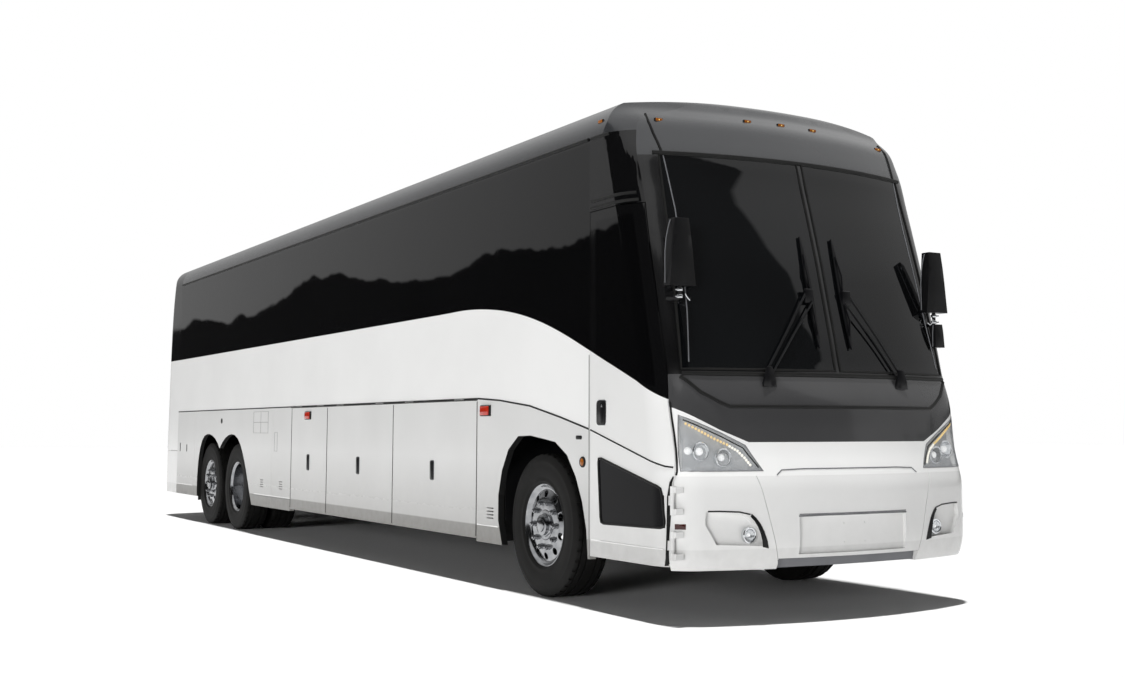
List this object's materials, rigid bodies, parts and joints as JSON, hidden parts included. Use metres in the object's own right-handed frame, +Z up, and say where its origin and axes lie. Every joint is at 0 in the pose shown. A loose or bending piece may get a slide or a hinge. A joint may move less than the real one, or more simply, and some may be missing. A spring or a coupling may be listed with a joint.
{
  "type": "coach bus",
  "caption": "Three-axle highway coach with swept belt line, dark bonded side glass, split windscreen, flap luggage doors, entrance door and polished disc wheels.",
  "frame": {"origin": "on the ground under the middle of the overall length", "axes": "+X forward, +Y left, +Z up"},
  "size_m": [13.8417, 2.608, 3.56],
  "materials": {
    "amber_lens": "amber moulded lens",
    "black_metal": "black powder coat",
    "black_plastic": "grained black moulding",
    "cast_block": "as cast",
    "dark_glass": "dark tinted glass",
    "floor_board": "ribbed floor covering",
    "frame_metal": "black chassis paint",
    "grey_paint": "dark grey satin paint",
    "grey_plastic": "grained grey moulding",
    "lamp_lens": "clear moulded lens",
    "polished_alloy": "polished forged alloy",
    "red_lens": "red moulded lens",
    "roof_paint": "dark grey gloss paint",
    "rubber": "moulded rubber",
    "screen_glass": "tinted laminated glass",
    "seat_cloth": "woven seat cloth",
    "tyre": "moulded tyre rubber",
    "wall_paint": "white gloss paint",
    "white_paint": "white gloss paint"
  },
  "bodies": {
    "coach": {"air_springs": "rubber", "bay_structure": "frame_metal", "chassis_frame": "frame_metal", "cowl_panel": "grey_paint", "dashboard": "black_plastic", "driver_seat": "seat_cloth", "engine_block": "cast_block", "floor_deck": "floor_board", "fog_lamps": "lamp_lens", "front_axle": "frame_metal", "front_bumper": "white_paint", "front_cap": "roof_paint", "front_panel": "white_paint", "headlamps": "lamp_lens", "marker_lamps": "amber_lens", "mirrors": "black_plastic", "parcel_racks": "grey_plastic", "passenger_seats": "seat_cloth", "rear_axles": "frame_metal", "rear_bumper": "white_paint", "rear_glass": "dark_glass", "rear_shell": "white_paint", "roof_shell": "roof_paint", "side_glass_left": "dark_glass", "side_glass_right": "dark_glass", "side_wall_left": "wall_paint", "side_wall_right": "wall_paint", "skirt_left": "white_paint", "skirt_right": "white_paint", "tail_lamps": "red_lens", "wheel_housings": "black_plastic", "windscreen": "screen_glass", "wipers": "black_metal"},
    "luggage_door_right_1": {"luggage_door_right_1": "white_paint"},
    "luggage_door_right_2": {"luggage_door_right_2": "white_paint"},
    "luggage_door_right_3": {"luggage_door_right_3": "white_paint"},
    "wheel_front_right": {"wheel_front_right": "polished_alloy", "tyre_front_right": "tyre"},
    "wheel_drive_right": {"wheel_drive_right": "polished_alloy", "tyre_drive_right": "tyre"},
    "wheel_tag_right": {"wheel_tag_right": "polished_alloy", "tyre_tag_right": "tyre"},
    "knuckle_right": {"knuckle_right": "frame_metal"},
    "luggage_door_left_1": {"luggage_door_left_1": "white_paint"},
    "luggage_door_left_2": {"luggage_door_left_2": "white_paint"},
    "luggage_door_left_3": {"luggage_door_left_3": "white_paint"},
    "wheel_front_left": {"wheel_front_left": "polished_alloy", "tyre_front_left": "tyre"},
    "wheel_drive_left": {"wheel_drive_left": "polished_alloy", "tyre_drive_left": "tyre"},
    "wheel_tag_left": {"wheel_tag_left": "polished_alloy", "tyre_tag_left": "tyre"},
    "knuckle_left": {"knuckle_left": "frame_metal"},
    "entrance_door": {"entrance_door": "white_paint", "door_glass": "dark_glass"},
    "engine_door": {"engine_door": "white_paint"},
    "steering_wheel": {"steering_wheel": "black_plastic"}
  },
  "joints": [
    {"name": "steer_right", "type": "hinge", "parent": "coach", "child": "knuckle_right", "pos_m": [4.87, -0.93, 0.525], "axis": [0, 0, 1], "range_deg": [-38, 38]},
    {"name": "spin_front_right", "type": "hinge", "parent": "knuckle_right", "child": "wheel_front_right", "pos_m": [4.87, -1.1, 0.525], "axis": [0, 1, 0], "continuous": true},
    {"name": "spin_drive_right", "type": "hinge", "parent": "coach", "child": "wheel_drive_right", "pos_m": [-3.13, -1.1, 0.525], "axis": [0, 1, 0], "continuous": true},
    {"name": "spin_tag_right", "type": "hinge", "parent": "coach", "child": "wheel_tag_right", "pos_m": [-4.35, -1.1, 0.525], "axis": [0, 1, 0], "continuous": true},
    {"name": "luggage_hinge_right_1", "type": "hinge", "parent": "coach", "child": "luggage_door_right_1", "pos_m": [2.9685, -1.295, 1.468], "axis": [1, 0, 0], "range_deg": [-95, 0]},
    {"name": "luggage_hinge_right_2", "type": "hinge", "parent": "coach", "child": "luggage_door_right_2", "pos_m": [1.193, -1.295, 1.468], "axis": [1, 0, 0], "range_deg": [-95, 0]},
    {"name": "luggage_hinge_right_3", "type": "hinge", "parent": "coach", "child": "luggage_door_right_3", "pos_m": [-0.279, -1.295, 1.468], "axis": [1, 0, 0], "range_deg": [-95, 0]},
    {"name": "steer_left", "type": "hinge", "parent": "coach", "child": "knuckle_left", "pos_m": [4.87, 0.93, 0.525], "axis": [0, 0, 1], "range_deg": [-38, 38]},
    {"name": "spin_front_left", "type": "hinge", "parent": "knuckle_left", "child": "wheel_front_left", "pos_m": [4.87, 1.1, 0.525], "axis": [0, 1, 0], "continuous": true},
    {"name": "spin_drive_left", "type": "hinge", "parent": "coach", "child": "wheel_drive_left", "pos_m": [-3.13, 1.1, 0.525], "axis": [0, 1, 0], "continuous": true},
    {"name": "spin_tag_left", "type": "hinge", "parent": "coach", "child": "wheel_tag_left", "pos_m": [-4.35, 1.1, 0.525], "axis": [0, 1, 0], "continuous": true},
    {"name": "luggage_hinge_left_1", "type": "hinge", "parent": "coach", "child": "luggage_door_left_1", "pos_m": [2.9685, 1.295, 1.468], "axis": [1, 0, 0], "range_deg": [0, 95]},
    {"name": "luggage_hinge_left_2", "type": "hinge", "parent": "coach", "child": "luggage_door_left_2", "pos_m": [1.193, 1.295, 1.468], "axis": [1, 0, 0], "range_deg": [0, 95]},
    {"name": "luggage_hinge_left_3", "type": "hinge", "parent": "coach", "child": "luggage_door_left_3", "pos_m": [-0.279, 1.295, 1.468], "axis": [1, 0, 0], "range_deg": [0, 95]},
    {"name": "door_hinge", "type": "hinge", "parent": "coach", "child": "entrance_door", "pos_m": [6.638, -1.268, 1], "axis": [0, 0, 1], "range_deg": [0, 92]},
    {"name": "engine_door_hinge", "type": "hinge", "parent": "coach", "child": "engine_door", "pos_m": [-6.89, 0, 1.915], "axis": [0, 1, 0], "range_deg": [0, 80]},
    {"name": "steering_column", "type": "hinge", "parent": "coach", "child": "steering_wheel", "pos_m": [6.265, 0.62, 1.86], "axis": [0.4695, 0, -0.8829], "range_deg": [-700, 700]}
  ],
  "couplings": [
    {"joint": "steer_right", "follows": "steer_left", "ratio": 1},
    {"joint": "steering_column", "follows": "steer_left", "ratio": -18}
  ]
}
